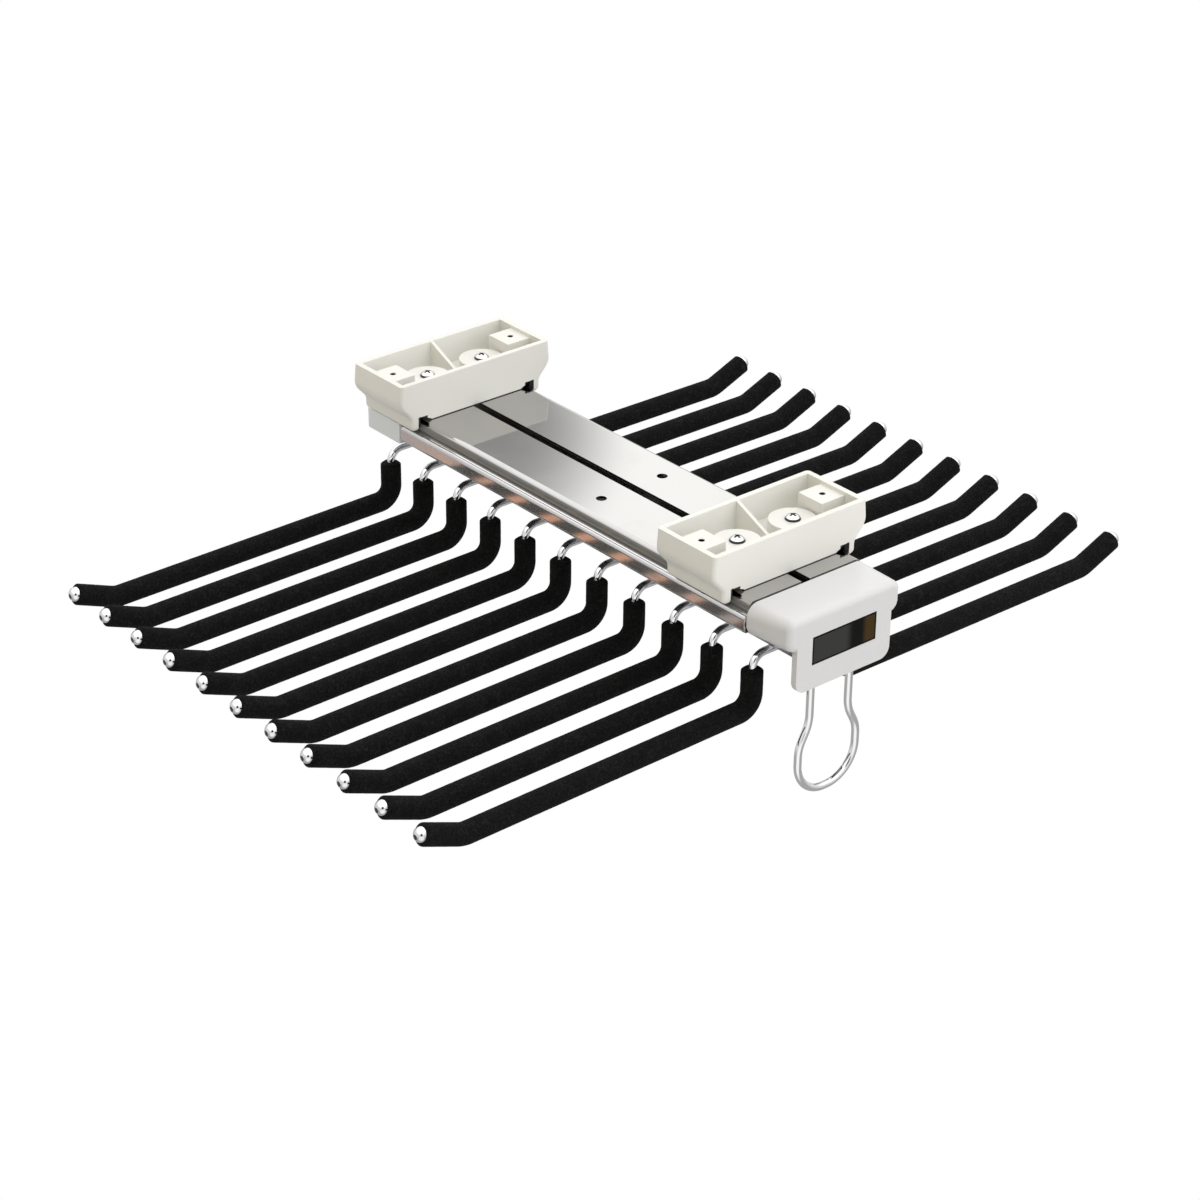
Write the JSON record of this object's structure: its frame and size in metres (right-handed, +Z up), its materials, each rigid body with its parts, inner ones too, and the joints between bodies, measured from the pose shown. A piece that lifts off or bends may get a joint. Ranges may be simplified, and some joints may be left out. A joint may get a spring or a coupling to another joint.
{
  "type": "sliding wardrobe hanger",
  "caption": "Pull-out trouser rack that hangs under a wardrobe's top panel: flocked arms on both sides of a ball-bearing carriage, with two tray brackets and a wire pull loop.",
  "frame": {"origin": "middle of the four cabinet screw holes, level with the brackets' screw pads", "axes": "+X to the right-hand arms, -Y to the front, where the carriage pulls out, +Z up to the cabinet panel"},
  "size_m": [0.459, 0.3243, 0.1293],
  "materials": {
    "ivory_plastic": "satin moulded",
    "white_plastic": "semi-gloss moulded",
    "dark_plate": "gloss",
    "rubber": "matt",
    "flocked_sleeve": "flocked",
    "cage_plastic": "moulded",
    "polished_steel": "mirror polished",
    "zinc_steel": "zinc plated",
    "screw_steel": "bright",
    "ball_steel": "polished",
    "chromed_wire": "bright chrome"
  },
  "bodies": {
    "fixed_part": {"fixed_rail": "polished_steel", "front_bracket": "ivory_plastic", "front_bracket_screws": "screw_steel", "front_nut_plate": "zinc_steel", "rear_bracket": "ivory_plastic", "rear_bracket_screws": "screw_steel", "rear_nut_plate": "zinc_steel"},
    "carriage": {"arm_wire_01": "chromed_wire", "arm_wire_02": "chromed_wire", "arm_wire_03": "chromed_wire", "arm_wire_04": "chromed_wire", "arm_wire_05": "chromed_wire", "arm_wire_06": "chromed_wire", "arm_wire_07": "chromed_wire", "arm_wire_08": "chromed_wire", "arm_wire_09": "chromed_wire", "arm_wire_10": "chromed_wire", "arm_wire_11": "chromed_wire", "carrier_bar": "zinc_steel", "carrier_rivets": "zinc_steel", "front_buffer": "rubber", "front_cap": "white_plastic", "front_cap_screws": "screw_steel", "left_arm_tips": "chromed_wire", "left_sleeve_01": "flocked_sleeve", "left_sleeve_02": "flocked_sleeve", "left_sleeve_03": "flocked_sleeve", "left_sleeve_04": "flocked_sleeve", "left_sleeve_05": "flocked_sleeve", "left_sleeve_06": "flocked_sleeve", "left_sleeve_07": "flocked_sleeve", "left_sleeve_08": "flocked_sleeve", "left_sleeve_09": "flocked_sleeve", "left_sleeve_10": "flocked_sleeve", "left_sleeve_11": "flocked_sleeve", "name_plate": "dark_plate", "outer_channel": "polished_steel", "pull_loop": "chromed_wire", "rear_cap": "white_plastic", "rear_cap_screws": "screw_steel", "right_arm_tips": "chromed_wire", "right_sleeve_01": "flocked_sleeve", "right_sleeve_02": "flocked_sleeve", "right_sleeve_03": "flocked_sleeve", "right_sleeve_04": "flocked_sleeve", "right_sleeve_05": "flocked_sleeve", "right_sleeve_06": "flocked_sleeve", "right_sleeve_07": "flocked_sleeve", "right_sleeve_08": "flocked_sleeve", "right_sleeve_09": "flocked_sleeve", "right_sleeve_10": "flocked_sleeve", "right_sleeve_11": "flocked_sleeve"},
    "left_cage": {"left_ball_cage": "cage_plastic", "left_balls": "ball_steel"},
    "right_cage": {"right_ball_cage": "cage_plastic", "right_balls": "ball_steel"}
  },
  "joints": [
    {"name": "carriage_slide", "type": "slide", "parent": "fixed_part", "child": "carriage", "axis": [0, -1, 0], "range_m": [0, 0.19]},
    {"name": "left_cage_slide", "type": "slide", "parent": "fixed_part", "child": "left_cage", "axis": [0, -1, 0], "range_m": [0, 0.095]},
    {"name": "right_cage_slide", "type": "slide", "parent": "fixed_part", "child": "right_cage", "axis": [0, -1, 0], "range_m": [0, 0.095]}
  ],
  "couplings": [
    {"joint": "left_cage_slide", "follows": "carriage_slide", "ratio": 0.5},
    {"joint": "right_cage_slide", "follows": "carriage_slide", "ratio": 0.5}
  ]
}
